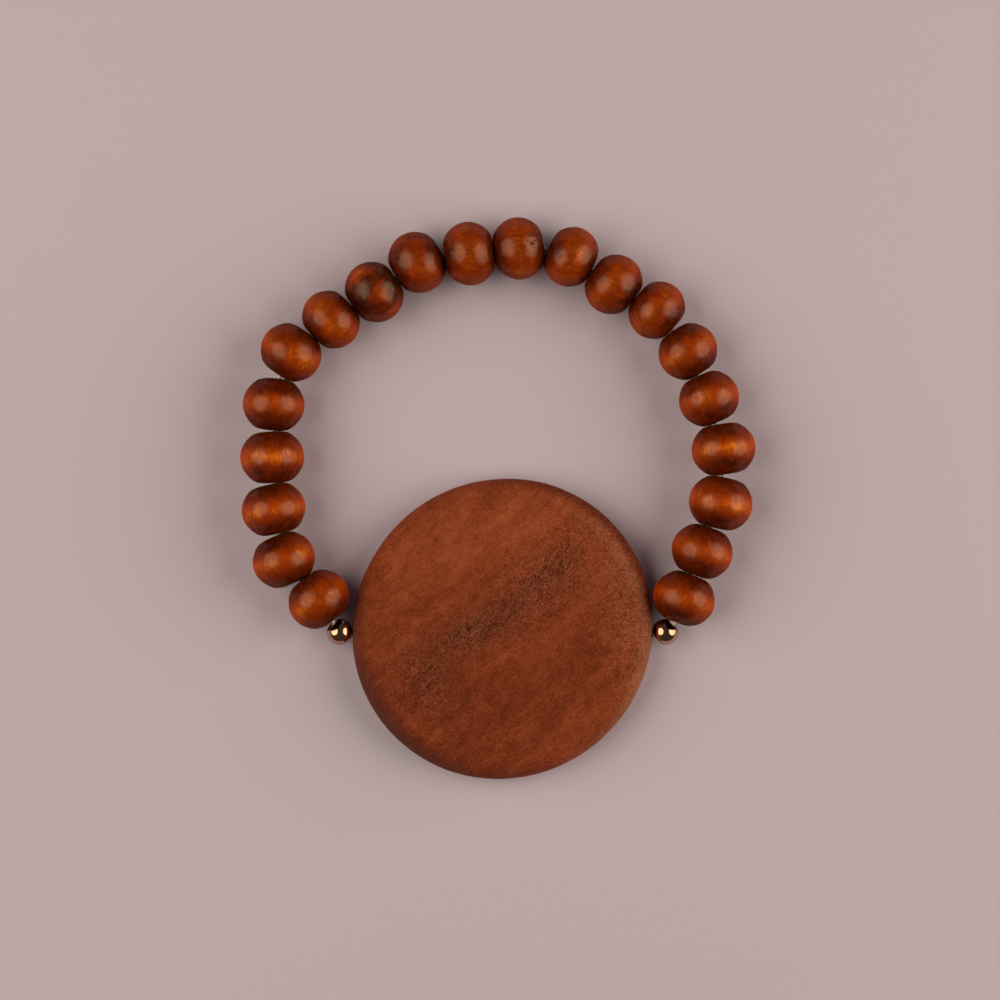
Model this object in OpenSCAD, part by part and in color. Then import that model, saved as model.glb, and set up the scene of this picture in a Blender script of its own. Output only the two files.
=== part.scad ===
// Stretch bracelet: a strand of turned wood beads and two small metal beads,
// closed by a large flat wood disc. It lies on its side, as it does on a table.
// +X runs along the hole of the disc, +Y from the disc over the opening to the
// top of the loop, +Z up. The origin is at the bottom centre of the whole piece.

/* [Wood beads] */
// Usual outer diameter of a wood bead
bead_d = 8.0; // [7.6:0.1:8.3]
// Usual length of a wood bead along its hole
bead_l = 6.42; // [6.2:0.02:6.8]
// Radius of the barrel curve, as a share of the length
bead_barrel = 0.504; // [0.502:0.002:0.53]
// Hole through a wood bead
bead_bore = 2.2; // [1.8:0.1:2.4]

/* [Disc] */
// Width of the disc along the grain
disc_long = 39.2; // [37:0.1:41]
// Width of the disc across the grain, where the wood has shrunk
disc_short = 38.0; // [36:0.1:40]
// Direction of the grain, in degrees from +X
disc_grain = 45; // [0:5:90]
// Thickness of the disc
disc_t = 5.0; // [4.8:0.1:5.6]
// Radius of the rounded rim
disc_rim = 2.3; // [1:0.1:2.3]
// Hole through the disc from side to side
disc_bore = 2.0; // [1.8:0.1:2.2]
// How far that hole runs below the middle of the disc, seen from above
disc_bore_low = 0.4; // [0:0.1:1]

/* [Metal beads] */
// Diameter of a metal bead
metal_d = 3.4; // [3.2:0.1:3.6]
// Length of a metal bead along its hole
metal_l = 2.7; // [2.6:0.1:2.8]
// Hole through a metal bead
metal_bore = 1.7; // [1.6:0.1:1.8]

/* [Elastic] */
// Diameter of the elastic
elastic_d = 0.5; // [0.4:0.1:0.6]
// How far the taut elastic sits towards the inside of the loop in each bead
elastic_in = 0.4; // [0:0.1:0.5]

/* [Fit] */
// Gap kept between neighbouring pieces
gap = 0.05; // [0.04:0.01:0.12]

/* [Hidden] */
$fn = 64;

// The wood beads in order, from the left end of the disc over the top to its
// right end. Columns: direction from the bead before, then direction of the
// bead's own hole, both in degrees from +X as the strand runs, then how much
// wider and how much longer than usual the bead is.
WAY = 0; HOLE = 1; WIDER = 2; LONGER = 3;
BEADS = [
    [ 121,  129,  0.1,  0.05],
    [ 131,  113,  0.1,  0.00],
    [ 101,  102,  0.2, -0.10],
    [  91,   93,  0.2,  0.10],
    [  88,   84, -0.1,  0.20],
    [  71,   55,  0.0,  0.10],
    [  39,   43, -0.2, -0.20],
    [  32,   35,  0.0,  0.10],
    [  34,   30,  0.0,  0.15],
    [   9,    9,  0.2, -0.15],
    [   6,    8,  0.0, -0.10],
    [  -9,  -25, -0.2, -0.30],
    [ -33,  -36, -0.1, -0.05],
    [ -31,  -41, -0.3, -0.25],
    [ -53,  -57, -0.3,  0.05],
    [ -66,  -66, -0.2,  0.00],
    [ -74,  -81,  0.2,  0.00],
    [ -93, -103,  0.2,  0.10],
    [-111, -110, -0.1, -0.05],
    [-111, -112,  0.0, -0.05]];
last_way = -118; // from the last wood bead to the right metal bead
HALF = 10; // wood beads on the left half of the strand

function u(a) = [cos(a), sin(a)];
function turned(p, a) = [p.x*cos(a) - p.y*sin(a), p.x*sin(a) + p.y*cos(a)];
function bearing(p) = atan2(p.y, p.x);

// Size and outline of wood bead i: two arcs of radius rho with their middles
// off to each side of the hole, cut square at both ends
function wide(i) = bead_d + BEADS[i][WIDER];
function long(i) = bead_l + BEADS[i][LONGER];
function rho(i) = bead_barrel*long(i);
function off(i) = wide(i)/2 - rho(i);
function face(i) = off(i) + sqrt(rho(i)*rho(i) - long(i)*long(i)/4);
// How far that outline reaches in a direction t degrees off the hole
function reach(i, t) = rho(i)*cos(t) > long(i)/2
    ? long(i)/2*cos(t) + face(i)*sin(t)
    : off(i)*sin(t) + rho(i);

// How far apart the middles of beads i - 1 and i are: the least distance along
// the way between them at which some plane, square to direction n, parts them
function apart(i, n) =
    (reach(i - 1, abs(n - BEADS[i - 1][HOLE])) + reach(i, abs(n - BEADS[i][HOLE])) + gap)
    /cos(n - BEADS[i][WAY]);
function spacing(i) = min([for (n = [-30:1:30]) apart(i, BEADS[i][WAY] + n)]);

// The disc's half width along X at height y off its middle
function disc_half_x(y) =
    let (a = disc_long/2, b = disc_short/2, c = cos(disc_grain), s = sin(disc_grain),
         A = c*c/a/a + s*s/b/b, B = 2*c*s*(1/a/a - 1/b/b)*y,
         C = y*y*(s*s/a/a + c*c/b/b) - 1)
    (-B + sqrt(B*B - 4*A*C))/2/A;
disc_half_y = sqrt(pow(disc_long/2*sin(disc_grain), 2) + pow(disc_short/2*cos(disc_grain), 2));

// A metal bead sits in the mouth of the disc's hole, at its height
metal_z = disc_t/2;
metal_out = metal_d/2 - 0.12 + gap;
metal_left = [-disc_half_x(-disc_bore_low) - metal_out, -disc_bore_low];
metal_right = [disc_half_x(-disc_bore_low) + metal_out, -disc_bore_low];

// From there to the first wood bead, whose end leans over it
function first_pitch(i) =
    let (dz = wide(i)/2 - metal_z, r = rho(i) + metal_d/2 + gap)
    sqrt(r*r - pow(dz - off(i), 2));

// Middles of the beads on each half of the strand, before it is closed
function run_left(i) = i == 0
    ? metal_left + first_pitch(0)*u(BEADS[0][WAY])
    : run_left(i - 1) + spacing(i)*u(BEADS[i][WAY]);
function run_right(i) = i == len(BEADS) - 1
    ? metal_right - first_pitch(i)*u(last_way)
    : run_right(i + 1) - spacing(i + 1)*u(BEADS[i + 1][WAY]);

// The halves swing about the metal beads until they meet at the top: the right
// half is carried one bead further, to where it would put the left half's last
end_left = run_left(HALF - 1) - metal_left;
end_right = run_right(HALF) - spacing(HALF)*u(BEADS[HALF][WAY]) - metal_right;
span = metal_right.x - metal_left.x;
top_x = (span*span + end_left*end_left - end_right*end_right)/2/span;
top = [top_x, sqrt(end_left*end_left - top_x*top_x)];
swing_left = bearing(top) - bearing(end_left);
swing_right = bearing(top - [span, 0]) - bearing(end_right);

function on_left(i) = i < HALF;
function raw_middle(i) = on_left(i)
    ? metal_left + turned(run_left(i) - metal_left, swing_left)
    : metal_right + turned(run_right(i) - metal_right, swing_right);
function dir(i) = BEADS[i][HOLE] + (on_left(i) ? swing_left : swing_right);

// Box of the whole piece seen from above, to put the origin in its middle
function lean(i, a) = let (t = abs((dir(i) - a) % 180)) min(t, 180 - t);
RAW = [for (i = [0:len(BEADS) - 1]) raw_middle(i)];
x_lo = min([for (i = [0:len(BEADS) - 1]) RAW[i].x - reach(i, lean(i, 0))]);
x_hi = max([for (i = [0:len(BEADS) - 1]) RAW[i].x + reach(i, lean(i, 0))]);
y_hi = max([for (i = [0:len(BEADS) - 1]) RAW[i].y + reach(i, lean(i, 90))]);
y_lo = -disc_half_y;
disc_at = -[x_lo + x_hi, y_lo + y_hi]/2;
MIDDLE = [for (p = RAW) p + disc_at];
METAL = [metal_left + disc_at, metal_right + disc_at];

// The metal beads' holes lean from the disc's hole towards the wood bead's.
// Columns: direction in plan, then upward tilt, in degrees
PLAN = 0; TILT = 1;
METAL_LEAN = [[139, 12], [41, 6]];

// Turned barrel about +Z with its hole along +Z, square ends
module barrel(d, l, r, bore) {
    difference() {
        rotate_extrude() intersection() {
            union() {
                translate([d/2 - r, 0]) circle(r);
                translate([0, -l/2]) square([d/2 - r, l]);
            }
            translate([0, -l/2]) square([d, l]);
        }
        cylinder(h = 2*l, d = bore, center = true);
    }
}

module wood_bead(i) {
    color([0.55, 0.22, 0.03])
        translate([MIDDLE[i].x, MIDDLE[i].y, wide(i)/2])
            rotate([0, 90, dir(i)])
                barrel(wide(i), long(i), rho(i), bead_bore);
}

module metal_bead(k) {
    color([0.83, 0.64, 0.36])
        translate([METAL[k].x, METAL[k].y, metal_z])
            rotate([0, 90 - METAL_LEAN[k][TILT], METAL_LEAN[k][PLAN]])
                barrel(metal_d, metal_l, metal_d*0.49, metal_bore);
}

// Disc with a rounded rim, drawn out along the grain and bored from side to side.
// Its faces are drawn a little proud and cut flat once it has been drawn out
module disc() {
    w = (disc_long + disc_short)/2;
    proud = 0.1;
    color([0.45, 0.20, 0.11])
        translate([disc_at.x, disc_at.y, 0])
            difference() {
                rotate([0, 0, disc_grain])
                    scale([disc_long/w, disc_short/w, 1])
                        rotate_extrude() intersection() {
                            union() {
                                translate([0, -proud])
                                    square([w/2 - disc_rim, disc_t + 2*proud]);
                                translate([0, disc_rim])
                                    square([w/2, disc_t - 2*disc_rim]);
                                for (z = [disc_rim, disc_t - disc_rim])
                                    translate([w/2 - disc_rim, z]) circle(disc_rim);
                            }
                            translate([0, -proud]) square([w, disc_t + 2*proud]);
                        }
                for (z = [-1, disc_t + 1])
                    translate([0, 0, z]) cube([w + 4, w + 4, 2], center = true);
                translate([0, -disc_bore_low, disc_t/2]) rotate([0, 90, 0])
                    cylinder(h = w + 10, d = disc_bore, center = true);
            }
}

// Where the elastic bends: half way between the mouths of two wood beads' holes,
// and from there towards the inside of the loop as far as both holes let it
n_wood = len(BEADS);
elastic_z = bead_d/2;
function up(p, z) = [p.x, p.y, z];
function room(bore) = (bore - elastic_d)/2 - gap;
function mouth(i, e) = MIDDLE[i] + e*long(i)/2*u(dir(i));
function joint(i) =
    let (a = mouth(i, 1), b = mouth(i + 1, -1), in = u((dir(i) + dir(i + 1))/2 - 90),
         free = room(bead_bore) - abs((b - a)*in)/2)
    up((a + b)/2 + max(0, min(elastic_in, free))*in, elastic_z);

// At the metal beads the holes are out of line, and at the mouth of each hole the
// elastic leans towards the next one, again as far as the hole lets it
function toward(p, way, q, free) =
    let (v = q - p, side = v - (v*way)*way) p + side*min(1, free/norm(side));
function disc_mouth(k) = up(METAL[k], metal_z) + [(1 - 2*k)*(metal_out + 0.35), 0, 0];
function metal_way(k) =
    let (a = METAL_LEAN[k][PLAN], t = METAL_LEAN[k][TILT]) up(cos(t)*u(a), sin(t));
function metal_mouth(k, e) = up(METAL[k], metal_z) + e*metal_l/2*metal_way(k);
function wood_mouth(k) = k == 0
    ? up(mouth(0, -1), wide(0)/2) : up(mouth(n_wood - 1, 1), wide(n_wood - 1)/2);
function wood_way(k) = up(u(dir(k == 0 ? 0 : n_wood - 1)), 0);
function past_metal(k) = [
    toward(disc_mouth(k), [1, 0, 0], metal_mouth(k, -1), room(disc_bore)),
    toward(metal_mouth(k, -1), metal_way(k), disc_mouth(k), room(metal_bore)),
    toward(metal_mouth(k, 1), metal_way(k), wood_mouth(k), room(metal_bore)),
    toward(wood_mouth(k), wood_way(k), metal_mouth(k, 1), room(bead_bore))];

// Its corners, once round from the middle of the disc, then rings between them
ring_step = 2.9;
PAST_LEFT = past_metal(0);
PAST_RIGHT = past_metal(1);
CORNERS = concat(
    PAST_LEFT,
    [for (i = [0:n_wood - 2]) joint(i)],
    [for (j = [3:-1:0]) PAST_RIGHT[j]]);
function rings(c) = [for (k = [0:len(c) - 1])
    let (a = c[k], b = c[(k + 1) % len(c)], m = ceil(norm(b - a)/ring_step))
    for (j = [0:m - 1]) a + (b - a)*j/m];

// One closed tube of eight sides along a closed row of points
module tube(c, d) {
    n = len(c);
    s = 8;
    function way(k) = let (a = c[(k + n - 1) % n], b = c[k], e = c[(k + 1) % n])
        let (f = (b - a)/norm(b - a) + (e - b)/norm(e - b)) f/norm(f);
    pts = [for (k = [0:n - 1]) let (w = way(k), side = cross(w, [0, 0, 1]),
            x = side/norm(side), y = cross(x, w))
        for (j = [0:s - 1]) c[k] + d/2*(cos(360*j/s)*x + sin(360*j/s)*y)];
    faces = [for (k = [0:n - 1], j = [0:s - 1]) let (q = (k + 1) % n, r = (j + 1) % s)
        each [[k*s + j, k*s + r, q*s + r], [k*s + j, q*s + r, q*s + j]]];
    polyhedron(points = pts, faces = faces);
}

module elastic_cord() {
    color([0.86, 0.80, 0.76]) tube(rings(CORNERS), elastic_d);
}

disc();
metal_bead(0);  // metal_bead_left
metal_bead(1);  // metal_bead_right
wood_bead(0);  // wood_bead_01
wood_bead(1);  // wood_bead_02
wood_bead(2);  // wood_bead_03
wood_bead(3);  // wood_bead_04
wood_bead(4);  // wood_bead_05
wood_bead(5);  // wood_bead_06
wood_bead(6);  // wood_bead_07
wood_bead(7);  // wood_bead_08
wood_bead(8);  // wood_bead_09
wood_bead(9);  // wood_bead_10
wood_bead(10);  // wood_bead_11
wood_bead(11);  // wood_bead_12
wood_bead(12);  // wood_bead_13
wood_bead(13);  // wood_bead_14
wood_bead(14);  // wood_bead_15
wood_bead(15);  // wood_bead_16
wood_bead(16);  // wood_bead_17
wood_bead(17);  // wood_bead_18
wood_bead(18);  // wood_bead_19
wood_bead(19);  // wood_bead_20
elastic_cord();
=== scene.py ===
import math

import bpy
import numpy as np
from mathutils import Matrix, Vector, noise


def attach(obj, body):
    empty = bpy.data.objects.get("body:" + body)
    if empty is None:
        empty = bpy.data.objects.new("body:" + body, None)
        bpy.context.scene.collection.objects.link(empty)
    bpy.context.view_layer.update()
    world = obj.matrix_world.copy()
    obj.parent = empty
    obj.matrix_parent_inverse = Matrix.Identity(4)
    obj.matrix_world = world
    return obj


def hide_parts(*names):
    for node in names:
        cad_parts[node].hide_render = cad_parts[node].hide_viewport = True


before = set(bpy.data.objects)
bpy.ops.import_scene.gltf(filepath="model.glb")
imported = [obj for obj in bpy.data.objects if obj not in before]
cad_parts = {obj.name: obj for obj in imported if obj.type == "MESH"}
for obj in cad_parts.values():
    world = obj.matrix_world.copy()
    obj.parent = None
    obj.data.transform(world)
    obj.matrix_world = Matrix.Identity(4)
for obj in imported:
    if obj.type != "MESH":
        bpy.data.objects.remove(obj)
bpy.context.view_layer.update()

# Tables and sizes are in millimetres, as in the solid model; MM turns them into metres.
MM = 0.001

# ---------------------------------------------------------------- the strand
BEAD_D, BEAD_L, BARREL, BORE = 8.0, 6.42, 0.504, 2.2
DISC_LONG, DISC_SHORT, DISC_GRAIN, DISC_T, DISC_RIM = 39.2, 38.0, 45.0, 5.0, 2.3
DISC_BORE, DISC_LOW = 2.0, 0.4
METAL_D, METAL_L, METAL_BORE = 3.4, 2.7, 1.7
ELASTIC_D, ELASTIC_IN, GAP = 0.5, 0.4, 0.05

# direction from the bead before, direction of the hole, wider by, longer by
WAY, HOLE, WIDER, LONGER = 0, 1, 2, 3
BEADS = [
    (121, 129, 0.1, 0.05), (131, 113, 0.1, 0.00), (101, 102, 0.2, -0.10),
    (91, 93, 0.2, 0.10), (88, 84, -0.1, 0.20), (71, 55, 0.0, 0.10),
    (39, 43, -0.2, -0.20), (32, 35, 0.0, 0.10), (34, 30, 0.0, 0.15),
    (9, 9, 0.2, -0.15), (6, 8, 0.0, -0.10), (-9, -25, -0.2, -0.30),
    (-33, -36, -0.1, -0.05), (-31, -41, -0.3, -0.25), (-53, -57, -0.3, 0.05),
    (-66, -66, -0.2, 0.00), (-74, -81, 0.2, 0.00), (-93, -103, 0.2, 0.10),
    (-111, -110, -0.1, -0.05), (-111, -112, 0.0, -0.05)]
LAST_WAY, HALF = -118, 10
METAL_LEAN = [(139, 12), (41, 6)]
N_WOOD = len(BEADS)


def cosd(a): return math.cos(math.radians(a))
def sind(a): return math.sin(math.radians(a))
def unit(a): return np.array([cosd(a), sind(a)])


def turned(p, a):
    return np.array([p[0] * cosd(a) - p[1] * sind(a), p[0] * sind(a) + p[1] * cosd(a)])


def bearing(p): return math.degrees(math.atan2(p[1], p[0]))


WIDE = [BEAD_D + b[WIDER] for b in BEADS]
LONG = [BEAD_L + b[LONGER] for b in BEADS]
RHO = [BARREL * l for l in LONG]
OFF = [w / 2 - r for w, r in zip(WIDE, RHO)]
FACE = [o + math.sqrt(r * r - l * l / 4) for o, r, l in zip(OFF, RHO, LONG)]


def reach(i, t):
    if RHO[i] * cosd(t) > LONG[i] / 2:
        return LONG[i] / 2 * cosd(t) + FACE[i] * sind(t)
    return OFF[i] * sind(t) + RHO[i]


def spacing(i):
    way = BEADS[i][WAY]
    return min((reach(i - 1, abs(way + n - BEADS[i - 1][HOLE])) + reach(i, abs(way + n - BEADS[i][HOLE])) + GAP)
               / cosd(n) for n in range(-30, 31))


def disc_half_x(y):
    a, b, c, s = DISC_LONG / 2, DISC_SHORT / 2, cosd(DISC_GRAIN), sind(DISC_GRAIN)
    A = c * c / a / a + s * s / b / b
    B = 2 * c * s * (1 / a / a - 1 / b / b) * y
    C = y * y * (s * s / a / a + c * c / b / b) - 1
    return (-B + math.sqrt(B * B - 4 * A * C)) / 2 / A


def lay_strand():
    """Where every bead lies: the same rule as in the solid model."""
    half_y = math.hypot(DISC_LONG / 2 * sind(DISC_GRAIN), DISC_SHORT / 2 * cosd(DISC_GRAIN))
    z = DISC_T / 2
    out = METAL_D / 2 - 0.12 + GAP
    left = np.array([-disc_half_x(-DISC_LOW) - out, -DISC_LOW])
    right = np.array([disc_half_x(-DISC_LOW) + out, -DISC_LOW])

    def first(i):
        dz, r = WIDE[i] / 2 - z, RHO[i] + METAL_D / 2 + GAP
        return math.sqrt(r * r - (dz - OFF[i]) ** 2)

    run = {0: left + first(0) * unit(BEADS[0][WAY])}
    for i in range(1, HALF):
        run[i] = run[i - 1] + spacing(i) * unit(BEADS[i][WAY])
    last = N_WOOD - 1
    run[last] = right - first(last) * unit(LAST_WAY)
    for i in range(last - 1, HALF - 1, -1):
        run[i] = run[i + 1] - spacing(i + 1) * unit(BEADS[i + 1][WAY])
    end_l = run[HALF - 1] - left
    end_r = run[HALF] - spacing(HALF) * unit(BEADS[HALF][WAY]) - right
    span = right[0] - left[0]
    tx = (span * span + end_l @ end_l - end_r @ end_r) / 2 / span
    top = np.array([tx, math.sqrt(end_l @ end_l - tx * tx)])
    sw = (bearing(top) - bearing(end_l), bearing(top - [span, 0]) - bearing(end_r))
    mid, way = [], []
    for i in range(N_WOOD):
        k, pin = (0, left) if i < HALF else (1, right)
        mid.append(pin + turned(run[i] - pin, sw[k]))
        way.append(BEADS[i][HOLE] + sw[k])

    def lean(i, a):
        t = abs(math.fmod(way[i] - a, 180))
        return min(t, 180 - t)

    x_lo = min(mid[i][0] - reach(i, lean(i, 0)) for i in range(N_WOOD))
    x_hi = max(mid[i][0] + reach(i, lean(i, 0)) for i in range(N_WOOD))
    y_hi = max(mid[i][1] + reach(i, lean(i, 90)) for i in range(N_WOOD))
    at = -np.array([x_lo + x_hi, -half_y + y_hi]) / 2
    return [m + at for m in mid], way, [left + at, right + at], at, out


MIDDLE, DIR, METAL, DISC_AT, METAL_OUT = lay_strand()
METAL_Z = DISC_T / 2


def v3(p, z): return np.array([p[0], p[1], z])


def elastic_route():
    """The elastic's corners, once round: the same rule as in the solid model."""
    def room(bore): return (bore - ELASTIC_D) / 2 - GAP
    def mouth(i, e): return MIDDLE[i] + e * LONG[i] / 2 * unit(DIR[i])

    def joint(i):
        a, b = mouth(i, 1), mouth(i + 1, -1)
        inward = unit((DIR[i] + DIR[i + 1]) / 2 - 90)
        free = room(BORE) - abs((b - a) @ inward) / 2
        return v3((a + b) / 2 + max(0, min(ELASTIC_IN, free)) * inward, BEAD_D / 2)

    def toward(p, way, q, free):
        side = (q - p) - ((q - p) @ way) * way
        return p + side * min(1, free / np.linalg.norm(side))

    def past(k):
        i = 0 if k == 0 else N_WOOD - 1
        lean = METAL_LEAN[k]
        way = v3(cosd(lean[1]) * unit(lean[0]), sind(lean[1]))
        c = v3(METAL[k], METAL_Z)
        d = c + np.array([(1 - 2 * k) * (METAL_OUT + 0.35), 0, 0])
        m = [c + e * METAL_L / 2 * way for e in (-1, 1)]
        w = v3(mouth(i, -1 if k == 0 else 1), WIDE[i] / 2)
        return [toward(d, np.array([1.0, 0, 0]), m[0], room(DISC_BORE)),
                toward(m[0], way, d, room(METAL_BORE)),
                toward(m[1], way, w, room(METAL_BORE)),
                toward(w, v3(unit(DIR[i]), 0), m[1], room(BORE))]

    return past(0) + [joint(i) for i in range(N_WOOD - 1)] + past(1)[::-1]


# ---------------------------------------------------------------- mesh tools
def new_mesh(name, verts, faces, attrs=None):
    """A piece from vertices in millimetres, with its point attributes."""
    me = bpy.data.meshes.new(name)
    me.from_pydata((np.asarray(verts) * MM).tolist(), [], faces)
    for key, val in (attrs or {}).items():
        val = np.asarray(val, dtype=np.float32)
        kind = "FLOAT_VECTOR" if val.ndim == 2 else "FLOAT"
        a = me.attributes.new(key, kind, "POINT")
        a.data.foreach_set("vector" if val.ndim == 2 else "value", val.ravel())
    me.polygons.foreach_set("use_smooth", [True] * len(me.polygons))
    me.update()
    ob = bpy.data.objects.new(name, me)
    bpy.context.scene.collection.objects.link(ob)
    return ob


def grid_faces(rows, cols, close_rows):
    """Quads of a grid whose columns close on themselves, and its rows if asked."""
    out = []
    for a in range(rows if close_rows else rows - 1):
        b = (a + 1) % rows
        for j in range(cols):
            k = (j + 1) % cols
            out.append((a * cols + j, a * cols + k, b * cols + k, b * cols + j))
    return out


def spin(profile, segs):
    """Turns a closed profile of (radius, height) about Z; returns its points and quads."""
    pr = np.asarray(profile)
    t = np.arange(segs) * 2 * math.pi / segs
    v = np.empty((len(pr), segs, 3))
    v[..., 0] = pr[:, :1] * np.cos(t)
    v[..., 1] = pr[:, :1] * np.sin(t)
    v[..., 2] = pr[:, 1:]
    return v.reshape(-1, 3), grid_faces(len(pr), segs, True)


def wob(p, scale, seed, detail=2):
    """Smooth noise about 0, the same on every run, at each of the points p."""
    return np.array([noise.fractal(Vector((x * scale + seed, y * scale - seed, z * scale + 2 * seed)), 1.0, 2.0, detail)
                     for x, y, z in p])


def smooth(e0, e1, x):
    t = np.clip((x - e0) / (e1 - e0), 0, 1)
    return t * t * (3 - 2 * t)


def axes(plan, tilt=0.0):
    """Rows are the local X, Y and Z of a bead whose hole points that way: X is down."""
    ez = v3(cosd(tilt) * unit(plan), sind(tilt))
    ey = np.array([-sind(plan), cosd(plan), 0.0])
    return np.array([np.cross(ey, ez), ey, ez])


def patch(p, centre, along, long, wide):
    """A soft oval patch: 1 at its centre, 0 well away; `along` is its long direction."""
    d = p - centre
    u = d @ along
    w2 = np.maximum((d * d).sum(1) - u * u, 0)
    return np.exp(-(u / long) ** 2 - w2 / wide ** 2)


# ---------------------------------------------------------------- materials
class Tree:
    """Short hand for a node material."""

    def __init__(self, name):
        self.m = bpy.data.materials.new(name)
        self.m.use_nodes = True
        self.nt = self.m.node_tree
        self.nt.nodes.clear()
        self.out = self.nt.nodes.new("ShaderNodeOutputMaterial")
        self.bsdf = self.nt.nodes.new("ShaderNodeBsdfPrincipled")
        self.nt.links.new(self.bsdf.outputs[0], self.out.inputs[0])

    def set(self, **values):
        for key, val in values.items():
            self.bsdf.inputs[key.replace("_", " ")].default_value = val

    def link(self, a, b):
        self.nt.links.new(a, b)

    def node(self, kind, **props):
        n = self.nt.nodes.new("ShaderNode" + kind)
        for key, val in props.items():
            setattr(n, key, val)
        return n

    def attr(self, name, out="Fac"):
        n = self.node("Attribute", attribute_name=name)
        return n.outputs[out]

    def _put(self, sock, val):
        if isinstance(val, bpy.types.NodeSocket):
            self.link(val, sock)
        else:
            sock.default_value = val

    def math(self, op, a, b=0.0, c=0.0, clamp=False):
        n = self.node("Math", operation=op, use_clamp=clamp)
        for s, v in zip(n.inputs, (a, b, c)):
            self._put(s, v)
        return n.outputs[0]

    def centred(self, x, gain):
        """A texture that varies about a half, brought about 0 and scaled."""
        return self.math("MULTIPLY", self.math("SUBTRACT", x, 0.5), gain)

    def ridge(self, x, width):
        """1 on the thin winding lines where a noise crosses its middle, 0 away from them."""
        return self.remap(self.math("ABSOLUTE", self.math("SUBTRACT", x, 0.5)), 0.0, width, 1.0, 0.0)

    def vmath(self, op, a, b=(0, 0, 0)):
        n = self.node("VectorMath", operation=op)
        self._put(n.inputs[0], a)
        self._put(n.inputs[1], b)
        return n.outputs[0]

    def scaled(self, vec, s):
        return self.vmath("MULTIPLY", vec, s)

    def noise(self, vec, scale=1.0, detail=2.0, rough=0.5, distort=0.0, out="Fac"):
        n = self.node("TexNoise", noise_dimensions="3D")
        self._put(n.inputs["Vector"], vec)
        for key, val in (("Scale", scale), ("Detail", detail), ("Roughness", rough), ("Distortion", distort)):
            n.inputs[key].default_value = val
        return n.outputs[out]

    def voronoi(self, vec, scale=1.0, feature="F1", out="Distance", rand=1.0):
        n = self.node("TexVoronoi", feature=feature)
        self._put(n.inputs["Vector"], vec)
        n.inputs["Scale"].default_value = scale
        n.inputs["Randomness"].default_value = rand
        return n.outputs[out]

    def ramp(self, fac, stops, interp="EASE"):
        n = self.node("ValToRGB")
        cr = n.color_ramp
        cr.interpolation = interp
        while len(cr.elements) < len(stops):
            cr.elements.new(0.5)
        for e, (pos, col) in zip(cr.elements, stops):
            e.position = pos
            e.color = (*col, 1.0) if len(col) == 3 else col
        self.link(fac, n.inputs[0])
        return n.outputs[0]

    def remap(self, x, a, b, c=0.0, d=1.0, smoothed=False):
        n = self.node("MapRange", interpolation_type="SMOOTHSTEP" if smoothed else "LINEAR")
        for s, v in zip(n.inputs, (x, a, b, c, d)):
            self._put(s, v)
        return n.outputs[0]

    def mix(self, fac, a, b, blend="MIX"):
        n = self.node("Mix", data_type="RGBA", blend_type=blend)
        self._put(n.inputs[0], fac)
        for s, v in ((n.inputs[6], a), (n.inputs[7], b)):
            self._put(s, v if isinstance(v, bpy.types.NodeSocket) else (*v, 1.0))
        return n.outputs[2]

    def bump(self, height, strength, distance, normal=None):
        n = self.node("Bump")
        n.inputs["Strength"].default_value = strength
        n.inputs["Distance"].default_value = distance
        self.link(height, n.inputs["Height"])
        if normal is not None:
            self.link(normal, n.inputs["Normal"])
        return n.outputs[0]


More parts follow.
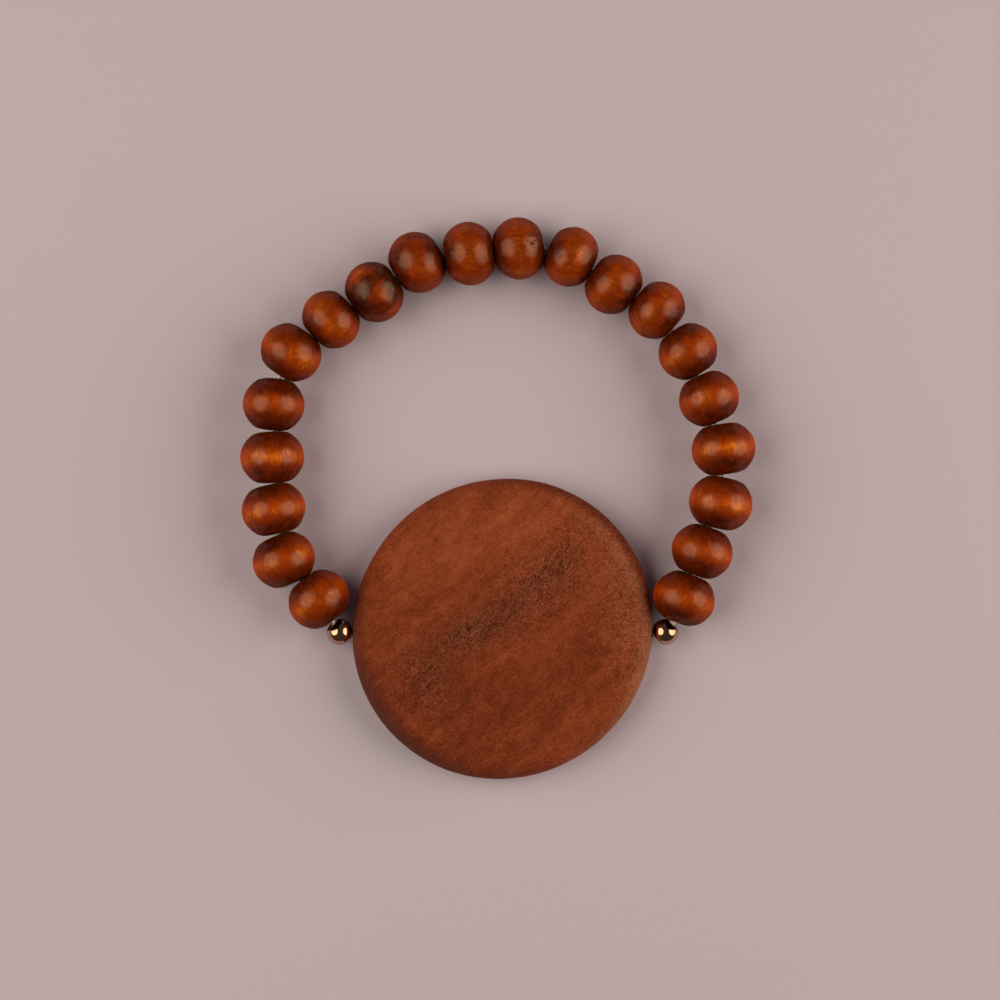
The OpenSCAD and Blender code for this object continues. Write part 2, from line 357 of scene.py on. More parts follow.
def bead_wood():
    """Stained and varnished turned wood. Light glances off the fibres in a band
    across them, and the stain is darkest where they are cut, towards the hole."""
    t = Tree("bead_wood")
    p = t.attr("grain", "Vector")          # millimetres, Z along the fibres
    ax = t.math("ABSOLUTE", t.math("ADD", t.attr("ax"), t.centred(t.noise(p, 0.33, 1.0), 0.5)))
    band = t.remap(ax, 0.0, 0.85, 1.0, 0.0, True)
    fib = t.noise(t.scaled(p, (5.0, 5.0, 0.9)), 1.0, 3.0, 0.6, 0.3)
    fine = t.noise(t.scaled(p, (11.0, 11.0, 3.6)), 1.0, 2.0, 0.65)
    mottle = t.noise(t.scaled(p, (0.85, 0.85, 0.45)), 1.0, 3.0, 0.55, 0.6)
    cloud = t.noise(t.scaled(p, (2.3, 2.3, 1.1)), 1.0, 2.0, 0.6, 0.8)
    pores = t.remap(t.voronoi(t.scaled(p, (6.5, 6.5, 1.3))), 0.06, 0.2, 1.0, 0.0)
    s = t.math("ADD", t.math("MULTIPLY", band, 0.46), t.attr("spot"))
    s = t.math("ADD", s, t.centred(mottle, 0.55))
    s = t.math("ADD", s, t.centred(cloud, 0.55))
    s = t.math("ADD", s, t.centred(fib, 0.40))
    s = t.math("ADD", s, t.centred(fine, 0.40))
    s = t.math("SUBTRACT", s, t.math("MULTIPLY", pores, 0.09))
    s = t.math("ADD", s, 0.23, clamp=True)
    col = t.ramp(s, [(0.0, (0.045, 0.0048, 0.0005)), (0.25, (0.166, 0.0165, 0.0005)), (0.5, (0.322, 0.0335, 0.0004)),
                     (0.75, (0.440, 0.0575, 0.0005)), (1.0, (0.730, 0.155, 0.0030))], "LINEAR")
    raw = t.attr("raw")
    col = t.mix(t.math("MULTIPLY", raw, t.remap(fine, 0.38, 0.62)), col, (0.40, 0.155, 0.060))
    knot = t.math("MULTIPLY", t.attr("knot"), t.remap(t.noise(p, 1.6, 3.0, 0.6), 0.30, 0.48, 0.55, 1.0))
    col = t.mix(knot, col, t.mix(t.remap(t.math("ADD", t.math("MULTIPLY", fib, 0.6), t.math("MULTIPLY", cloud, 0.4)), 0.40, 0.60), (0.026, 0.0055, 0.0040), (0.150, 0.0260, 0.0050)))
    t.link(col, t.bsdf.inputs["Base Color"])
    t.link(t.remap(fib, 0.3, 0.7, 0.68, 0.58), t.bsdf.inputs["Roughness"])
    h = t.math("ADD", t.math("MULTIPLY", fib, 0.6), t.math("MULTIPLY", fine, 0.4))
    h = t.math("SUBTRACT", h, t.math("MULTIPLY", pores, 0.5))
    t.link(t.bump(h, 0.35, 0.00006), t.bsdf.inputs["Normal"])
    lacquer = t.noise(t.scaled(p, (2.2, 2.2, 2.2)), 1.0, 3.0, 0.6)
    gain = t.math("ADD", 1.0, t.math("MULTIPLY", t.attr("knot"), 1.8))     # the varnish has sunk in over a knot
    cn = t.math("ADD", t.math("MULTIPLY", lacquer, 0.8), t.math("MULTIPLY", h, 0.35))
    cn = t.bump(t.math("MULTIPLY", cn, gain), 0.25, 0.00008)
    t.link(cn, t.bsdf.inputs["Coat Normal"])
    t.link(t.attr("across", "Vector"), t.bsdf.inputs["Tangent"])
    t.set(Metallic=0.5, Anisotropic=0.8, Specular_IOR_Level=0.0, Coat_Weight=0.14, Coat_Roughness=0.25, Coat_IOR=2.5,
          Sheen_Weight=0.032, Sheen_Roughness=0.30)
    t.bsdf.inputs["Sheen Tint"].default_value = (0.55, 0.95, 0.45, 1.0)
    t.bsdf.inputs["Specular Tint"].default_value = (0.15, 0.46, 0.42, 1.0)
    return t.m


def disc_wood():
    """Open, matte, stained wood with a short raised nap of curled fibre ends."""
    t = Tree("disc_wood")
    p = t.attr("grain", "Vector")          # millimetres, X along the grain
    flow = t.noise(t.scaled(p, (0.10, 0.10, 0.10)), 1.0, 2.0, 0.5, out="Color")
    q = t.vmath("ADD", p, t.vmath("MULTIPLY", t.vmath("SUBTRACT", flow, (0.5, 0.5, 0.5)), (5.0, 5.0, 0.0)))
    streak = t.noise(t.scaled(q, (0.12, 0.45, 0.4)), 1.0, 4.0, 0.55, 0.2)
    patchy = t.noise(p, 0.75, 3.0, 0.6, 0.5)
    curl_a = t.ridge(t.noise(t.scaled(p, (0.95, 1.25, 1.25)), 1.0, 1.0, 0.5, 1.4), 0.075)
    curl_b = t.ridge(t.noise(t.scaled(p, (1.7, 2.3, 2.3)), 1.0, 1.0, 0.5, 1.2), 0.10)
    fibre = t.noise(t.scaled(q, (0.5, 3.2, 3.2)), 1.0, 2.0, 0.6, 0.3)
    fleck = t.noise(p, 4.2, 2.0, 0.7)
    dark, raised = t.attr("dark"), t.attr("raised")
    nap = t.math("MAXIMUM", t.math("MULTIPLY", curl_a, t.remap(fleck, 0.35, 0.55)), t.math("MULTIPLY", curl_b, 0.8))
    s = t.math("ADD", 0.365, t.centred(streak, 0.42))
    s = t.math("ADD", s, t.centred(patchy, 0.36))
    s = t.math("ADD", s, t.math("MULTIPLY", t.math("SUBTRACT", fleck, 0.5), t.math("ADD", 0.62, t.math("MULTIPLY", raised, 0.22))))
    s = t.math("ADD", s, t.math("MULTIPLY", t.math("SUBTRACT", fibre, 0.5), t.math("SUBTRACT", 0.30, t.math("MULTIPLY", raised, 0.15))))
    s = t.math("ADD", s, t.math("MULTIPLY", t.math("SUBTRACT", nap, 0.45), t.math("ADD", 0.08, t.math("MULTIPLY", raised, 0.29))))
    s = t.math("SUBTRACT", s, dark, clamp=True)
    col = t.ramp(s, [(0.0, (0.095, 0.0145, 0.0062)), (0.25, (0.215, 0.0335, 0.0130)), (0.5, (0.385, 0.074, 0.0310)),
                     (0.75, (0.530, 0.130, 0.066)), (1.0, (0.680, 0.235, 0.165))], "LINEAR")
    col = t.mix(t.math("MULTIPLY", nap, t.math("ADD", 0.04, t.math("MULTIPLY", raised, 0.27))), col, (0.60, 0.245, 0.165))
    # painted highlight on the right-hand rim, showing most through the nap
    col = t.mix(t.math("MULTIPLY", t.attr("painted_rim_light"), t.remap(nap, 0.0, 0.7, 0.40, 1.0)), col, (0.52, 0.210, 0.150))
    # painted shade on the lower-left rim, with a painted dim reflection
    col = t.mix(t.attr("painted_rim_shade"), col, (0.125, 0.037, 0.033))
    t.link(col, t.bsdf.inputs["Base Color"])
    t.link(t.remap(nap, 0.2, 0.8, 0.85, 0.70), t.bsdf.inputs["Roughness"])
    h = t.math("ADD", t.math("MULTIPLY", nap, 0.65), t.math("MULTIPLY", fleck, 0.5))
    t.link(t.bump(h, 0.7, 0.00012), t.bsdf.inputs["Normal"])
    t.set(Metallic=0.0, Specular_IOR_Level=0.08, Sheen_Weight=0.035, Sheen_Roughness=0.4)
    t.bsdf.inputs["Sheen Tint"].default_value = (1.0, 0.80, 0.74, 1.0)
    return t.m


def gold():
    """Polished brass-coloured plating with faint wear."""
    t = Tree("gold_metal")
    p = t.attr("grain", "Vector")
    tarnish = t.noise(p, 1.1, 3.0, 0.6)
    rub = t.noise(t.scaled(p, (9.0, 9.0, 2.0)), 1.0, 2.0, 0.6)
    inside = t.attr("inside")              # the bore is left unpolished
    col = t.mix(t.remap(tarnish, 0.40, 0.75), (0.60, 0.36, 0.28), (0.48, 0.27, 0.18))
    col = t.mix(inside, col, (0.62, 0.40, 0.22))
    t.link(col, t.bsdf.inputs["Base Color"])
    rough = t.math("ADD", t.remap(rub, 0.3, 0.7, 0.08, 0.15), t.math("MULTIPLY", inside, 0.45))
    t.link(rough, t.bsdf.inputs["Roughness"])
    t.link(t.bump(t.math("ADD", rub, t.noise(p, 2.0, 2.0)), 0.12, 0.00003), t.bsdf.inputs["Normal"])
    t.set(Metallic=1.0)
    return t.m


def elastic_stuff():
    """Milky stretch cord of fine parallel strands."""
    t = Tree("elastic")
    p = t.attr("grain", "Vector")          # across, across, along, in millimetres
    strand = t.noise(t.scaled(p, (9.0, 9.0, 0.3)), 1.0, 2.0, 0.5)
    cloud = t.noise(p, 0.8, 2.0)
    col = t.mix(t.remap(strand, 0.35, 0.65), (0.98, 0.70, 0.86), (1.0, 0.79, 0.97))
    col = t.mix(t.remap(cloud, 0.4, 0.8, 0.0, 0.3), col, (0.82, 0.56, 0.56))
    t.link(col, t.bsdf.inputs["Base Color"])
    t.link(t.remap(strand, 0.3, 0.7, 0.30, 0.45), t.bsdf.inputs["Roughness"])
    t.link(t.bump(strand, 0.4, 0.00004), t.bsdf.inputs["Normal"])
    t.set(Subsurface_Weight=0.20, Subsurface_Scale=0.0006, Coat_Weight=0.3, Coat_Roughness=0.25)
    t.bsdf.inputs["Subsurface Radius"].default_value = (1.0, 0.95, 0.95)
    return t.m


BEAD_WOOD, DISC_WOOD, GOLD, ELASTIC = bead_wood(), disc_wood(), gold(), elastic_stuff()


# ---------------------------------------------------------------- wood beads
def barrel_profile(wide, long, rho, bore, rings, fillet):
    """Closed profile of a drilled barrel: outside from end to end, then back through the hole."""
    off, half = wide / 2 - rho, long / 2
    top = math.asin(half / rho)
    out = [(off + rho * math.cos(a), rho * math.sin(a)) for a in np.linspace(-top, top, rings)]
    r0 = bore / 2
    face = out[-1][0]
    rim = [(face + (r0 - face) * math.sin(s), half - fillet * (1 - math.cos(s)))
           for s in np.linspace(0, math.pi / 2, 7)[1:]]
    hole = [(r0, z) for z in np.linspace(half - fillet, -half + fillet, 12)[1:-1]]
    back = [(r, -z) for r, z in rim[::-1]]
    return out + rim + hole + back


# How each bead differs from the rest as it lies: how much lighter it is stained, and
# how far its fibres lean from the hole, in plan, in degrees.
LIGHTER, SKEW = 0, 1
STAIN = [(0.02, 0), (0.03, 0), (0.04, 0), (0.05, 0), (-0.06, 0), (0.02, 0), (0.00, 0), (-0.09, 0), (-0.06, 0), (0.02, 0),
         (0.00, 0), (0.03, 0), (-0.01, 0), (0.02, 0), (-0.01, 0), (0.03, 0), (0.04, 0), (0.05, 0), (-0.01, 0), (0.00, 0)]

# Knots, streaks and stained patches on the side that shows: bead, place east and north
# of its middle (mm), direction of the long way (degrees), half length and half width
# (mm), and how much lighter it is.
SPOTS = [
    (1, -1.9, -1.2, 35, 1.6, 1.1, 0.10), (1, 1.8, -2.3, 35, 1.4, 0.9, -0.10), (1, -0.4, 2.6, 35, 2.0, 0.8, -0.08),
    (2, 2.2, 1.3, 30, 1.2, 0.8, 0.10), (2, -1.6, -0.9, 25, 1.5, 0.8, 0.06), (2, -0.8, 2.2, 20, 2.2, 0.8, -0.10),
    (3, -2.0, -0.9, 15, 1.6, 0.7, 0.10), (3, 0.0, 2.3, 10, 2.4, 0.8, -0.06),
    (4, 0.2, 0.1, 0, 2.8, 0.7, 0.10), (4, -1.6, -1.9, 80, 1.0, 0.7, -0.14),
    (5, 0.0, 2.5, 0, 2.8, 0.9, 0.07), (5, 0.0, -2.3, 0, 2.6, 0.8, 0.04), (5, 0.0, 0.6, 0, 3.0, 0.5, 0.06),
    (6, 1.9, -1.2, -35, 1.6, 1.2, 0.14), (6, -1.5, 1.9, -35, 2.0, 1.0, -0.07),
    (7, 1.2, -1.6, -40, 1.8, 1.0, 0.12), (7, -2.2, -1.9, -45, 1.6, 0.8, -0.12), (7, -1.0, 1.7, -45, 1.8, 0.9, 0.05),
    (8, 1.2, -0.8, -45, 1.1, 0.45, 0.24), (8, -1.8, 2.4, 45, 1.9, 0.6, 0.18), (8, -3.0, 1.0, 60, 1.2, 0.6, 0.10),
    (8, 0.5, -2.3, 0, 3.2, 1.3, -0.15), (8, -2.0, -1.4, -50, 2.0, 1.1, -0.07), (8, 2.7, -0.6, 80, 1.8, 0.8, -0.12),
    (9, -2.0, 1.7, 60, 1.6, 1.0, -0.14), (9, 1.2, -1.4, -60, 2.2, 0.8, 0.12), (9, 0.0, 2.5, 90, 1.0, 0.5, 0.08),
    (10, 0.3, 0.8, 90, 3.2, 0.7, 0.07), (10, -2.2, 0.0, 90, 2.4, 0.6, -0.05),
    (11, -0.3, 0.6, 90, 2.6, 0.8, 0.06), (11, 0.0, -3.2, 0, 1.2, 0.5, 0.12),
    (12, 1.0, -0.2, 75, 1.6, 0.7, 0.18), (12, 0.2, -3.0, 10, 1.6, 0.8, 0.12), (12, -2.0, 0.6, 75, 2.0, 0.9, -0.08),
    (13, -0.9, -0.2, 60, 1.2, 0.8, 0.10), (13, 0.9, 2.0, 60, 1.6, 0.7, 0.08), (13, 2.4, -1.2, 60, 1.8, 0.8, -0.10),
    (14, 0.8, 2.4, 30, 1.5, 0.9, 0.14), (14, -1.4, -0.2, 40, 1.4, 0.8, 0.10), (14, 1.0, -1.6, 40, 1.6, 0.8, -0.08),
    (15, -2.3, -1.2, 40, 1.3, 0.9, 0.14), (15, 1.9, 1.7, 35, 1.6, 0.7, 0.10), (15, 0.5, -2.3, 30, 2.0, 0.8, -0.07),
    (16, -1.6, 0.4, 15, 2.6, 0.6, 0.10), (16, 0.2, -1.9, 20, 2.8, 1.0, -0.15),
    (17, 0.2, 0.3, 5, 3.2, 0.6, 0.12), (17, 0.2, -1.7, 0, 2.8, 0.9, -0.15), (17, 0.0, 2.4, 0, 2.4, 0.7, -0.08),
    (18, 2.1, -0.9, -20, 1.4, 0.9, 0.20), (18, -1.8, 0.6, -15, 1.8, 0.6, 0.10), (18, -0.6, -2.2, -10, 2.2, 0.7, -0.08),
    (19, 2.0, -0.9, -20, 1.6, 0.7, 0.12), (19, -1.4, 1.3, -25, 1.6, 0.7, 0.08), (19, 0.2, -2.0, -20, 2.0, 0.8, -0.10),
    (20, 1.9, -1.6, -25, 1.6, 0.8, 0.10), (20, -1.7, 2.0, -20, 1.4, 0.8, 0.06), (20, -0.6, -1.8, -20, 1.8, 0.8, -0.06)]


# A knot's dark figure, and on bead 11 the darkened pit and cracks of its chip: bead, east, north, direction, half
# length, half width, how dark.
KNOTS = [(8, 1.40, 1.90, -12, 1.35, 0.95, 1.0), (8, 2.60, 1.15, -52, 1.25, 0.68, 0.82), (8, -1.10, 0.15, 75, 1.15, 1.00, 0.85),
         (8, -0.90, 1.42, 28, 1.40, 0.45, 0.92), (8, 0.15, 1.05, 62, 0.95, 0.50, 0.72), (8, -1.10, -1.30, -50, 1.60, 0.75, 0.30),
         (8, 0.70, -2.30, 0, 2.50, 0.95, 0.34), (9, -2.3, 1.4, 60, 1.10, 0.70, 0.25),
         (11, 1.68, 0.45, -20, 0.34, 0.16, 0.85), (11, 1.25, 1.58, -22, 0.60, 0.08, 0.8), (11, 1.30, 1.22, -25, 0.65, 0.07, 0.8),
         (11, 1.05, 0.85, -35, 0.35, 0.07, 0.7), (11, 1.90, 0.10, 60, 0.40, 0.07, 0.7), (11, 0.80, 3.62, -22, 0.90, 0.10, 0.75)]

# A chip where fibres have lifted: bead, east, north, direction, half length, half width,
# how deep (mm), and how bare of stain.
DENTS = [(11, 1.50, 0.50, -65, 0.95, 0.60, 0.10, 0.50), (11, 1.68, 0.45, -20, 0.34, 0.16, 0.22, 0.0),
         (11, 1.25, 1.55, -22, 0.60, 0.10, 0.09, 0.0), (11, 1.30, 1.20, -25, 0.65, 0.10, 0.09, 0.35),
         (11, 1.00, 0.85, -30, 0.40, 0.10, 0.08, 0.30), (11, 1.95, 0.95, 10, 0.30, 0.14, 0.10, 0.75),
         (11, 0.80, 3.60, -22, 0.85, 0.11, 0.07, 0.0)]


def spot_on(p, i, east, north, angle, long, wide):
    """A patch on the upper side of bead i, at that place as seen from above."""
    u = np.array([east, north]) @ unit(DIR[i])
    r = OFF[i] + math.sqrt(max(RHO[i] ** 2 - u * u, 0))
    up = math.sqrt(max(r * r + u * u - east ** 2 - north ** 2, 0.3))
    return patch(p, np.array([east, north, up]), v3(unit(angle), 0), long, wide)


# The turned shoulders are a little fuller than the plain barrel, so that beads meet in
# more than a point: how far from the hole's line (degrees), and by how much (mm).
SHOULDER_AT, SHOULDER = [0, 8, 12, 16, 20, 25, 30, 40, 50], [0.024, 0.024, 0.034, 0.055, 0.078, 0.090, 0.080, 0.040, 0]


def meeting(i):
    """How far from their holes' lines beads i - 1 and i meet, in degrees, and half their gap there."""
    step, a, b = MIDDLE[i] - MIDDLE[i - 1], DIR[i - 1], DIR[i]
    far, way = np.linalg.norm(step), bearing(step)
    gap, at = max((far * cosd(n) - reach(i - 1, abs(way + n - a)) - reach(i, abs(way + n - b)), way + n) for n in range(-30, 31))
    return abs(at - a) + 1, abs(at - b) + 1, gap / 2 - 0.001


def shoulder(i, lean, z):
    """How much fuller bead i is, without reaching its neighbours."""
    before, room_b = meeting(i)[1:] if i > 0 else (45, 0.02)
    after, room_a = meeting(i + 1)[::2] if i < N_WOOD - 1 else (45, 0.02)
    past = np.radians(np.maximum(lean - np.where(z < 0, before, after), 0))
    return np.minimum(np.interp(lean, SHOULDER_AT, SHOULDER), np.where(z < 0, room_b, room_a) + RHO[i] * (1 - np.cos(past)))


def make_wood_bead(i):
    prof = barrel_profile(WIDE[i], LONG[i], RHO[i], BORE, 73, 0.16)
    v, f = spin(prof, 256 if i + 1 in {row[0] for row in DENTS} else 128)
    seed = 3.7 * i + 1.3
    half = LONG[i] / 2
    rad = np.hypot(v[:, 0], v[:, 1])
    way = v[:, :2] / rad[:, None]
    outer = smooth(BORE / 2, BORE / 2 + 0.8, rad)
    nrm = np.column_stack([(rad - OFF[i])[:, None] * way, v[:, 2]])
    nrm /= np.linalg.norm(nrm, axis=1)[:, None]
    d = -0.012 + 0.030 * wob(v, 0.28, seed) + 0.008 * wob(v, 1.1, seed + 9)
    ends = smooth(0.55, 0.8, np.abs(v[:, 2]) / half)       # left even where the beads touch
    lean = np.degrees(np.arcsin(np.clip((rad - OFF[i]) / RHO[i], 0, 1)))
    full = shoulder(i, lean, v[:, 2]) * smooth(BORE / 2, BORE / 2 + 0.07, rad)
    p = v + nrm * (np.minimum(d, 0.0) * (1 - ends) * outer + full)[:, None]

    turn = axes(DIR[i])
    at = v3(MIDDLE[i], WIDE[i] / 2)
    fibre = np.array([0.0, sind(STAIN[i][SKEW]), cosd(STAIN[i][SKEW])])
    side = np.cross(fibre, [-1.0, 0, 0])
    grain = np.column_stack([v[:, 0], v @ side, v @ fibre])
    across = np.cross(fibre, nrm)
    flat = np.linalg.norm(across, axis=1) < 0.05
    across[flat] = np.column_stack([-way[flat, 1], way[flat, 0], np.zeros(flat.sum())])
    across /= np.linalg.norm(across, axis=1)[:, None]

    spot = STAIN[i][LIGHTER] - 0.25 * (1 - smooth(BORE / 2, BORE / 2 + 0.5, rad))
    raw, knot = np.zeros(len(v)), np.zeros(len(v))
    world = v @ turn
    for bead, east, north, angle, long, wide, much in KNOTS:
        if bead == i + 1:
            knot = np.maximum(knot, much * smooth(0.12, 0.62, spot_on(world, i, east, north, angle, long, wide)))
    for bead, east, north, angle, long, wide, deep, bare in DENTS:
        if bead == i + 1:
            k = spot_on(world, i, east, north, angle, long, wide)
            p = p - nrm * (deep * k * (1 + 0.5 * wob(v, 2.6, 5.1)))[:, None]
            raw = np.maximum(raw, bare * smooth(0.1, 0.6, k))
    for bead, east, north, angle, long, wide, lighter in SPOTS:
        if bead == i + 1:
            spot = spot + 1.5 * lighter * spot_on(world, i, east, north, angle, long, wide)

    attrs = {"grain": grain + [11.3 * i, -7.1 * i, 5.9 * i], "ax": v[:, 2] / half, "spot": spot, "raw": raw, "knot": knot,
             "across": across @ turn}
    ob = new_mesh(f"wood_bead_{i + 1:02d}_turned", p @ turn + at, f, attrs)
    ob.data.materials.append(BEAD_WOOD)
    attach(ob, "root")
    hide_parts(f"wood_bead_{i + 1:02d}")
    return ob


for i in range(N_WOOD):
    make_wood_bead(i)


# ---------------------------------------------------------------- metal beads
def make_metal_bead(k):
    side = ("left", "right")[k]
    prof = barrel_profile(METAL_D, METAL_L, METAL_D * 0.49, METAL_BORE, 61, 0.30)
    v, f = spin(prof, 112)
    ob = new_mesh(f"metal_bead_{side}_polished", v @ axes(*METAL_LEAN[k]) + v3(METAL[k], METAL_Z), f,
                  {"grain": v + [40 * k, 3, 5], "inside": 1 - smooth(METAL_BORE / 2, METAL_BORE / 2 + 0.08, np.hypot(v[:, 0], v[:, 1]))})
    ob.data.materials.append(GOLD)
    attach(ob, "root")
    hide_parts(f"metal_bead_{side}")


for k in (0, 1):
    make_metal_bead(k)


# ---------------------------------------------------------------- disc
# Darker and lighter patches on the face of the disc, some making it lighter towards the top and darker towards the
# bottom: place east and north of its middle (mm), direction of the long way (degrees), half length and half width (mm),
# how much darker.
DISC_STAINS = [(6.4, 7.4, 50, 4.4, 2.3, 0.19), (-3.9, -0.2, 18, 3.6, 2.0, 0.18), (1.0, 3.2, 46, 3.6, 1.8, 0.12),
               (10.4, 12.6, 50, 4.2, 2.2, 0.03), (-9.0, -4.2, 28, 5.0, 2.6, 0.11), (0.2, 1.2, 42, 15.0, 5.6, 0.08),
               (-9.5, -9.0, 135, 12.0, 7.0, 0.06), (-2.8, -15.6, 20, 5.0, 1.8, 0.08), (11.9, -3.0, 45, 2.6, 1.7, 0.07),
               (2.6, -8.9, 36, 9.0, 1.3, 0.05), (-10.0, 11.0, 45, 7.0, 5.0, -0.09), (2.2, -4.2, 35, 4.2, 1.8, -0.05),
               (11.5, -9.0, 50, 5.0, 3.0, -0.05), (2.0, 13.5, 20, 5.0, 2.5, -0.03),
               (5.0, 11.8, 0, 11.0, 5.5, -0.10), (8.5, -7.5, 35, 7.0, 5.0, 0.09), (-7.0, -9.5, 20, 5.0, 4.0, 0.08)]
# Where its nap of curled fibres stands up most: place, direction, size, how much.
DISC_NAP = [(5.5, 6.5, 48, 9.0, 4.0, 0.9), (-4.0, -0.5, 30, 6.0, 2.6, 0.9), (-10.0, -6.0, 120, 6.0, 4.0, 0.6), (15.5, 3.0, 100, 11.0, 3.4, 0.9),
            (12.0, 11.5, 130, 5.0, 3.5, 0.6)]


def lobe(azimuth, middle, half):
    """1 where the azimuth is the middle one, falling to 0 at `half` degrees from it."""
    d = np.abs((azimuth - middle + 180) % 360 - 180)
    return 1 - smooth(0, half, d)


def make_disc():
    w = (DISC_LONG + DISC_SHORT) / 4
    flat, rim, t = w - DISC_RIM, DISC_RIM, DISC_T
    prof = [(r, t) for r in np.linspace(0.02, flat, 116)]
    prof += [(flat + rim * math.sin(a), t - rim + rim * math.cos(a)) for a in np.linspace(0, math.pi / 2, 26)[1:]]
    prof += [(w, z) for z in np.linspace(t - rim, rim, 4)[1:-1]]
    prof += [(flat + rim * math.cos(a), rim - rim * math.sin(a)) for a in np.linspace(0, math.pi / 2, 20)]
    prof += [(r, 0.0) for r in np.linspace(flat, 0.02, 30)[1:]]
    segs = 400
    pr = np.asarray(prof)
    a = np.arange(segs) * 2 * math.pi / segs
    v = np.empty((len(pr), segs, 3))
    v[..., 0] = pr[:, :1] * np.cos(a) * DISC_LONG / 2 / w
    v[..., 1] = pr[:, :1] * np.sin(a) * DISC_SHORT / 2 / w
    v[..., 2] = pr[:, 1:]
    v = v.reshape(-1, 3)
    f = [q[::-1] for q in grid_faces(len(pr), segs, False)]
    f.append(tuple(range(segs)))
    n = (len(pr) - 1) * segs
    f.append(tuple(range(n, n + segs))[::-1])
    up = smooth(0.4, 2.5, v[:, 2])
    rr = np.hypot(v[:, 0], v[:, 1])
    d = -0.06 + 0.06 * wob(v, 0.09, 4.2) + 0.014 * wob(v, 0.6, 7.7) + 0.016 * wob(v, 1.5, 2.9, 1)
    p = v.copy()
    p[:, 2] += np.minimum(d, 0.0) * up * (0.4 + 0.6 * (1 - smooth(flat - 1, w, rr)))
    edge = smooth(flat, w, rr)
    p[:, :2] *= (1 - edge * (0.0015 + 0.002 * wob(v, 0.2, 1.9)))[:, None]

    turn = np.array([[cosd(DISC_GRAIN), sind(DISC_GRAIN), 0], [-sind(DISC_GRAIN), cosd(DISC_GRAIN), 0], [0, 0, 1.0]])
    world = v @ turn
    azimuth = np.degrees(np.arctan2(world[:, 1], world[:, 0]))
    inside = w - rr + np.maximum(t - 0.6 - v[:, 2], 0) * 0.2
    top = smooth(t - rim - 1.0, t - 0.3, v[:, 2])
    dark = np.zeros(len(v))
    for east, north, angle, long, wide, more in DISC_STAINS:
        dark += more * top * patch(world * [1, 1, 0], np.array([east, north, 0.0]), v3(unit(angle), 0), long, wide)
    raised = np.zeros(len(v))
    for east, north, angle, long, wide, more in DISC_NAP:
        raised = np.maximum(raised, more * patch(world * [1, 1, 0], np.array([east, north, 0.0]), v3(unit(angle), 0), long, wide))
    # cut ends of the fibres drink more stain, at both ends of the grain
    dark += 0.17 * lobe(azimuth, 52, 62) * (1 - smooth(0.2, 1.6, inside))
    dark += 0.13 * lobe(azimuth, 228, 70) * (1 - smooth(0.3, 3.2, inside))
    # painted highlight: the lower-right rim, and a ridge just inside the upper-right rim, made lighter as if lit from
    # the right
    painted_rim_light = 0.60 * lobe(azimuth, 338, 58) * (1 - smooth(0.3, 2.0, inside))
    painted_rim_light += 0.30 * lobe(azimuth, 20, 70) * (1 - smooth(0.3, 1.2, np.abs(inside - 1.5)))
    # painted shade on the lower-left rim, dark and purple-grey, with a painted dim reflection
    painted_rim_shade = 0.75 * lobe(azimuth, 215, 75) * (1 - smooth(0.2, 2.2, inside))
    attrs = {"grain": v, "dark": dark, "painted_rim_light": np.clip(painted_rim_light, 0, 1), "painted_rim_shade": painted_rim_shade, "raised": raised}
    ob = new_mesh("disc_turned", p @ turn + v3(DISC_AT, 0), f, attrs)
    ob.data.materials.append(DISC_WOOD)

    # the hole from side to side, flared a little at both mouths
    half = disc_half_x(-DISC_LOW)
    r0 = DISC_BORE / 2
    xs = [-half - 3, -half - 0.2, -half + 0.15, -half + 0.6, -half + 1.2, 0, half - 1.2, half - 0.6, half - 0.15, half + 0.2, half + 3]
    rs = [r0 + 0.30, r0 + 0.30, r0 + 0.16, r0 + 0.05, r0, r0, r0, r0 + 0.05, r0 + 0.16, r0 + 0.30, r0 + 0.30]
    segs = 48
    a = np.arange(segs) * 2 * math.pi / segs
    cv = np.array([(x, r * math.cos(b), r * math.sin(b)) for x, r in zip(xs, rs) for b in a])
    cf = grid_faces(len(xs), segs, False)
    cf.append(tuple(range(segs))[::-1])
    n = (len(xs) - 1) * segs
    cf.append(tuple(range(n, n + segs)))
    cut = new_mesh("disc_drill", cv + v3(DISC_AT, METAL_Z) - [0, DISC_LOW, 0], cf)
    mod = ob.modifiers.new("drill", "BOOLEAN")
    mod.object, mod.operation, mod.solver = cut, "DIFFERENCE", "EXACT"
    bpy.context.view_layer.update()
    made = bpy.data.meshes.new_from_object(ob.evaluated_get(bpy.context.evaluated_depsgraph_get()))
    ob.modifiers.clear()
    ob.data = made
    bpy.data.objects.remove(cut)
    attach(ob, "root")
    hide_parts("disc")
    return ob


make_disc()


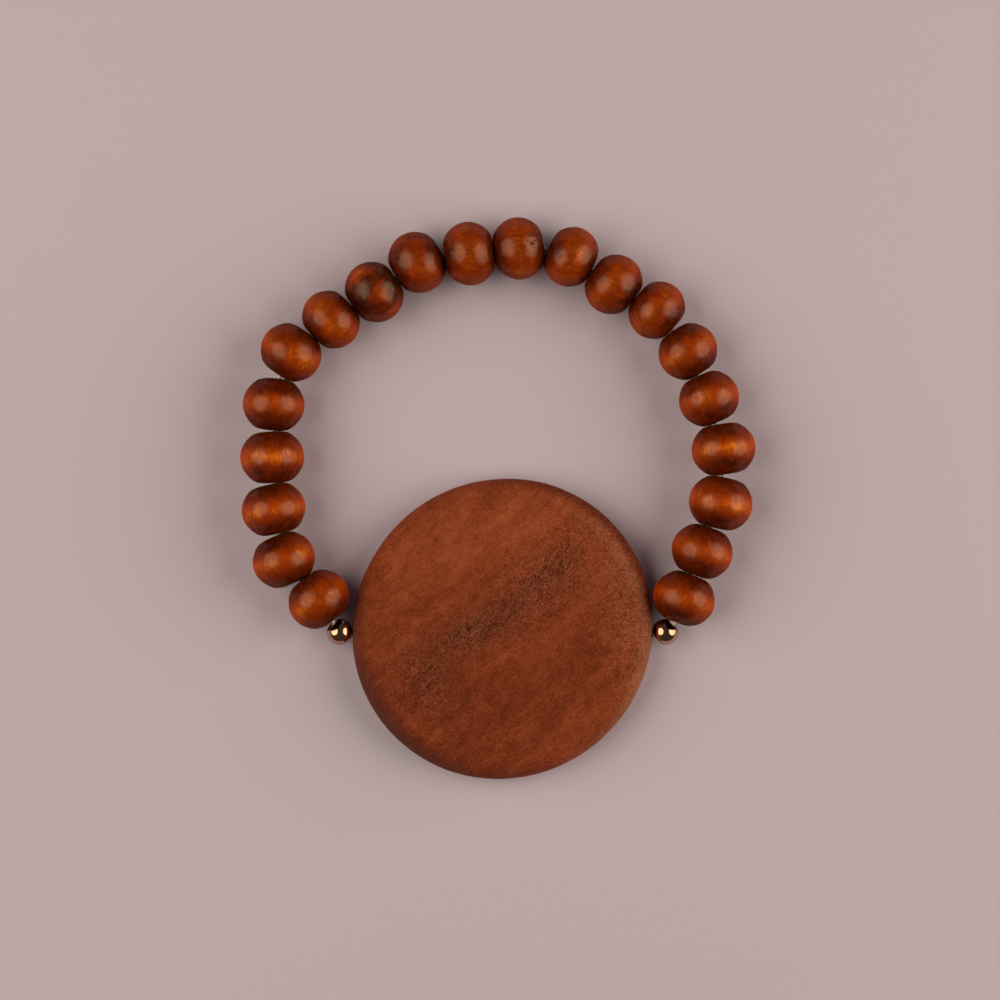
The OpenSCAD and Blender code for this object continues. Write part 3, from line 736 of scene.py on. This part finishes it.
# ---------------------------------------------------------------- elastic
def make_elastic():
    c = elastic_route()
    n = len(c)
    pts = []
    for k in range(n):                       # a straight run, with each corner rounded off
        a, b, e = c[k - 1], c[k], c[(k + 1) % n]
        ra = min(0.45 * np.linalg.norm(b - a), 0.16)
        re = min(0.45 * np.linalg.norm(e - b), 0.16)
        p0 = b + (a - b) / np.linalg.norm(a - b) * ra
        p2 = b + (e - b) / np.linalg.norm(e - b) * re
        for t in np.linspace(0, 1, 7):
            pts.append((1 - t) ** 2 * p0 + 2 * t * (1 - t) * b + t * t * p2)
        run = np.linalg.norm(e - b) - re - min(0.45 * np.linalg.norm(e - b), 0.16)
        m = int(run / 1.2)
        for j in range(1, m + 1):
            pts.append(p2 + (e - b) / np.linalg.norm(e - b) * run * j / (m + 1))
    pts = np.array(pts)
    keep = [0]
    for j in range(1, len(pts)):
        if np.linalg.norm(pts[j] - pts[keep[-1]]) > 0.03:
            keep.append(j)
    pts = pts[keep]
    m, segs, r = len(pts), 20, ELASTIC_D / 2
    way = np.roll(pts, -1, 0) - np.roll(pts, 1, 0)
    way /= np.linalg.norm(way, axis=1)[:, None]
    side = np.cross(way, [0, 0, 1.0])
    side /= np.linalg.norm(side, axis=1)[:, None]
    up = np.cross(side, way)
    step = np.linalg.norm(np.diff(pts, axis=0, append=pts[:1]), axis=1)
    run = np.concatenate([[0], np.cumsum(step)[:-1]])
    v, g = [], []
    for j in range(m):
        for s in range(segs):
            b = 2 * math.pi * s / segs
            v.append(pts[j] + r * (math.cos(b) * side[j] + math.sin(b) * up[j]))
            g.append((r * math.cos(b), r * math.sin(b), run[j]))
    f = [q[::-1] for q in grid_faces(m, segs, True)]
    ob = new_mesh("elastic_cord_strand", v, f, {"grain": g})
    ob.data.materials.append(ELASTIC)
    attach(ob, "root")
    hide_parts("elastic_cord")


make_elastic()

# ---------------------------------------------------------------- floor, light, camera
def make_floor():
    me = bpy.data.meshes.new("floor")
    s = 1.5
    me.from_pydata([(-s, -s, 0), (s, -s, 0), (s, s, 0), (-s, s, 0)], [], [(0, 1, 2, 3)])
    ob = bpy.data.objects.new("floor", me)
    bpy.context.scene.collection.objects.link(ob)
    t = Tree("floor")
    t.set(Roughness=0.9, Specular_IOR_Level=0.2)
    t.bsdf.inputs["Base Color"].default_value = (0.69, 0.572, 0.835, 1)
    me.materials.append(t.m)


make_floor()


def softbox(name, azimuth, tilt, distance, across, radiance):
    """A round studio light that faces the middle of the bracelet."""
    li = bpy.data.lights.new(name, "AREA")
    li.shape, li.size = "DISK", across
    li.energy = radiance * math.pi * math.pi * across * across / 4
    li.color = (1.0, 0.96, 0.62)
    ob = bpy.data.objects.new(name, li)
    way = Vector((sind(tilt) * cosd(azimuth), sind(tilt) * sind(azimuth), cosd(tilt)))
    ob.location = way * distance
    ob.rotation_mode = "QUATERNION"
    ob.rotation_quaternion = way.to_track_quat("Z", "Y")
    bpy.context.scene.collection.objects.link(ob)


softbox("softbox_left", 176, 48, 0.60, 0.66, 2.30)
softbox("softbox_right", 4, 61, 0.60, 0.66, 2.64)

world = bpy.data.worlds.new("studio")
bpy.context.scene.world = world
world.use_nodes = True
world.node_tree.nodes["Background"].inputs[0].default_value = (1.0, 0.82, 0.72, 1)
world.node_tree.nodes["Background"].inputs[1].default_value = 0.065

VIEW_W, PLANE, DIST = 128.2, 3.1, 400.0     # the width that the picture takes in at that height
cam = bpy.data.cameras.new("camera")
cam.sensor_width = 36
cam.lens = 18 / (VIEW_W / 2 / DIST)
cam.clip_start, cam.clip_end = 0.01, 10
camera = bpy.data.objects.new("camera", cam)
camera.location = Vector((0.278, -0.167, DIST + PLANE)) * MM
bpy.context.scene.collection.objects.link(camera)
bpy.context.scene.camera = camera

scene = bpy.context.scene
scene.view_settings.view_transform = "Standard"
scene.view_settings.look = "None"
scene.view_settings.exposure = 0.0
scene.view_settings.gamma = 1.0
